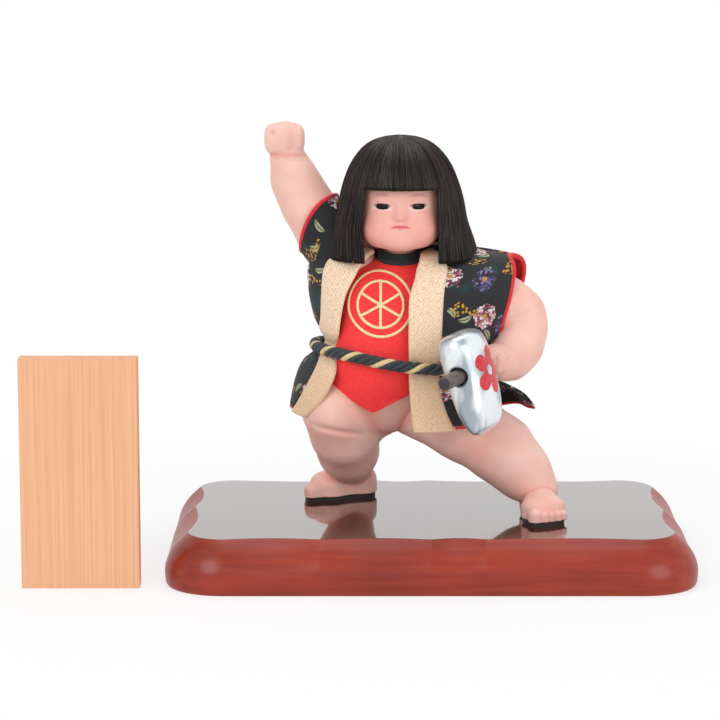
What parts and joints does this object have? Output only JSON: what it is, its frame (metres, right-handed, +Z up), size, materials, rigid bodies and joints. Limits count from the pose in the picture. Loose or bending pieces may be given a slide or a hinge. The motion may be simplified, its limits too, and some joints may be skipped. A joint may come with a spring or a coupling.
{
  "type": "festival doll",
  "caption": "Festival doll of a sturdy child in an open short coat, one fist raised and an axe in the other hand, on a lacquered stand with a plain name board beside it.",
  "frame": {"origin": "middle of the stand's underside", "axes": "+Z up, -Y the way the doll faces, +X towards its left hand, which holds the axe"},
  "size_m": [0.455, 0.225, 0.3035],
  "materials": {
    "lacquered_wood": "red-brown lacquer, polished",
    "felt": "pressed felt",
    "skin": "cast composition with a matt skin-coloured coat",
    "sole_pad": "matt, dark",
    "dowel": "plain turned wood",
    "eye": "dark, polished",
    "hair": "combed dark thread",
    "bib_cloth": "bright red crepe",
    "gold_stitching": "pale gold thread",
    "band_cloth": "blue-black ribbed ribbon",
    "brocade": "charcoal weave with coloured flowers",
    "cream_cloth": "cream twill",
    "red_cloth": "red cotton piping",
    "rope": "twisted black and cream cord",
    "silver_paint": "smooth silver paint",
    "mark_paint": "red paint",
    "handle_wood": "stained grey-brown",
    "board_wood": "planed, unfinished"
  },
  "bodies": {
    "figure": {"stand_board": "lacquered_wood", "stand_felt": "felt", "sole_pad_right": "sole_pad", "sole_pad_left": "sole_pad", "foot_peg_right": "dowel", "foot_peg_left": "dowel", "torso": "skin", "right_leg": "skin", "left_leg": "skin", "right_arm": "skin", "left_arm": "skin", "bib_panel": "bib_cloth", "bib_ring": "gold_stitching", "bib_star": "gold_stitching", "bib_neck_band": "band_cloth", "coat_back": "brocade", "coat_front_right": "brocade", "coat_front_left": "brocade", "sleeve_right": "brocade", "lapel_right": "cream_cloth", "lapel_left": "cream_cloth", "collar_back": "cream_cloth", "binding_right": "red_cloth", "binding_left": "red_cloth", "hem_back": "red_cloth", "hem_right": "red_cloth", "hem_left": "red_cloth", "rope_belt": "rope", "rope_knot": "rope"},
    "head": {"head": "skin", "neck_peg": "dowel", "eye_right": "eye", "eye_left": "eye", "hair": "hair"},
    "axe": {"axe_head": "silver_paint", "axe_handle": "handle_wood", "axe_mark": "mark_paint"},
    "board": {"name_board": "board_wood"}
  },
  "joints": [
    {"name": "head_turn", "type": "hinge", "parent": "figure", "child": "head", "pos_m": [-0.02079, 0.0054, 0.22022], "axis": [0, 0, 1], "range_deg": [-5, 5]},
    {"name": "axe_slide", "type": "slide", "parent": "figure", "child": "axe", "axis": [-0.4306, -0.9012, -0.0501], "range_m": [0, 0.05]},
    {"name": "board_lift", "type": "slide", "parent": "figure", "child": "board", "axis": [0, 0, 1], "range_m": [0, 0.16]}
  ]
}
